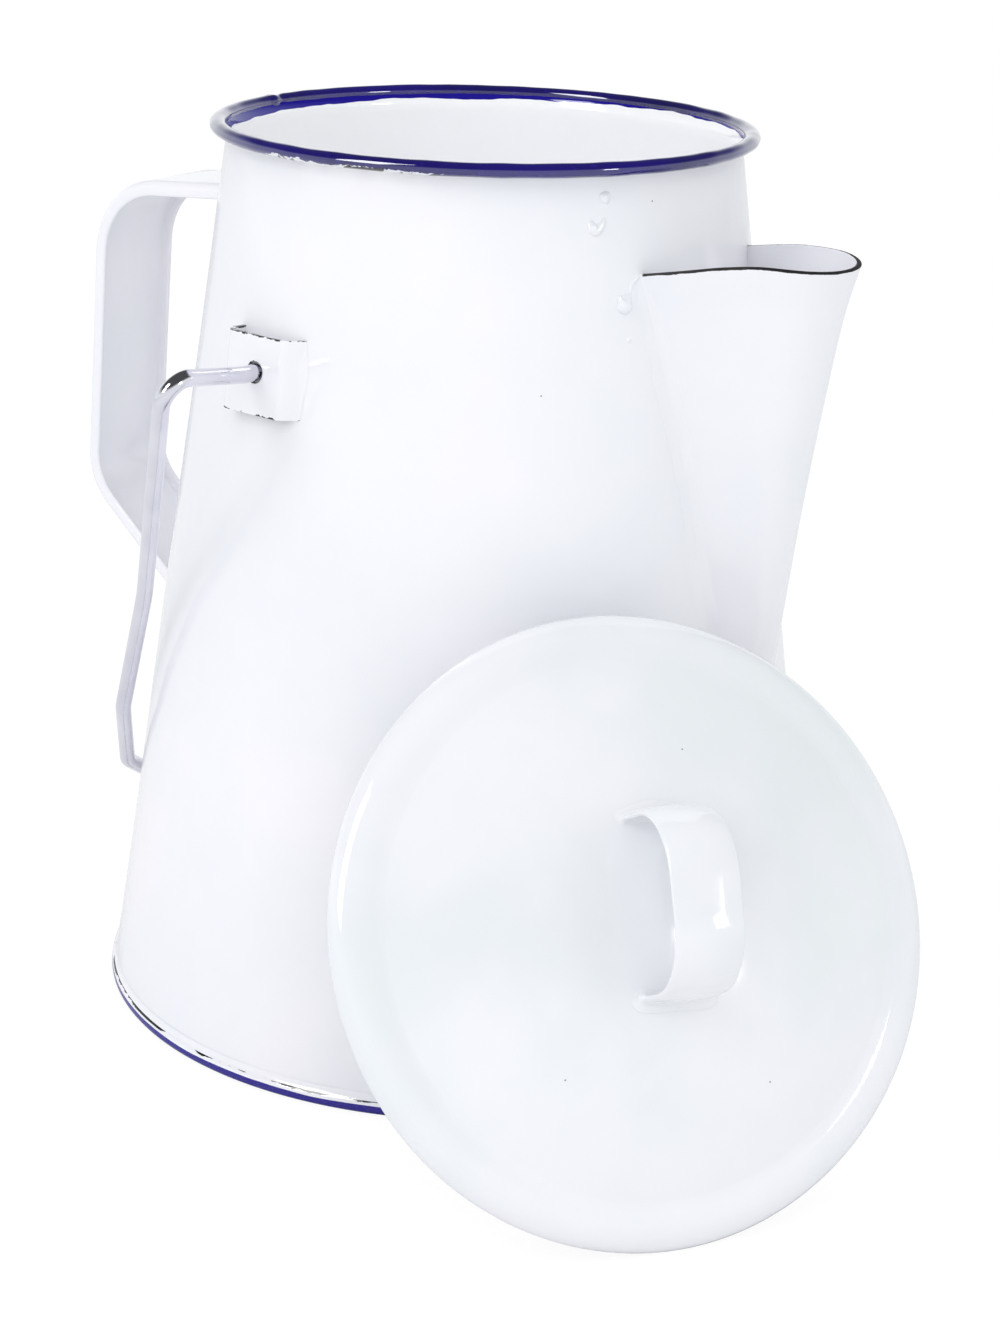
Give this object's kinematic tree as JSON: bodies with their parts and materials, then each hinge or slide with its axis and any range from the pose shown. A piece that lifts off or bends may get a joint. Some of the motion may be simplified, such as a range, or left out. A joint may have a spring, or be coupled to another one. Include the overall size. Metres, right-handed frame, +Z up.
{
  "type": "tea kettle",
  "caption": "White enamel tea kettle with a navy rim, folded sheet spout, strap handle, swinging wire bail and a domed lift-off lid that leans on its wall.",
  "frame": {"origin": "centre of the base, on the surface that the kettle stands on, where the pot's axis meets it", "axes": "+Z up the pot's axis, +X through the spout, -X through the strap handle; the ears of the bail stand at -Y and +Y, and the lid leans on the wall between +X and -Y"},
  "size_m": [0.2671, 0.2405, 0.2216],
  "materials": {
    "white_enamel": "gloss",
    "navy_enamel": "gloss",
    "bright_wire": "polished"
  },
  "bodies": {
    "pot": {"body_wall": "white_enamel", "base_pan": "navy_enamel", "spout": "white_enamel", "handle_strap": "white_enamel", "ear_near": "white_enamel", "ear_far": "white_enamel"},
    "bail": {"bail": "bright_wire"},
    "lid": {"lid_dish": "white_enamel", "lid_collar": "white_enamel", "lid_knob": "white_enamel"}
  },
  "joints": [
    {"name": "bail_swing", "type": "hinge", "parent": "pot", "child": "bail", "pos_m": [-0.013, 0, 0.17], "axis": [0, 1, 0], "range_deg": [0, 250]},
    {"name": "lid_lift", "type": "slide", "parent": "pot", "child": "lid", "axis": [0.7315, -0.4915, 0.4726], "range_m": [0, 0.12]}
  ]
}
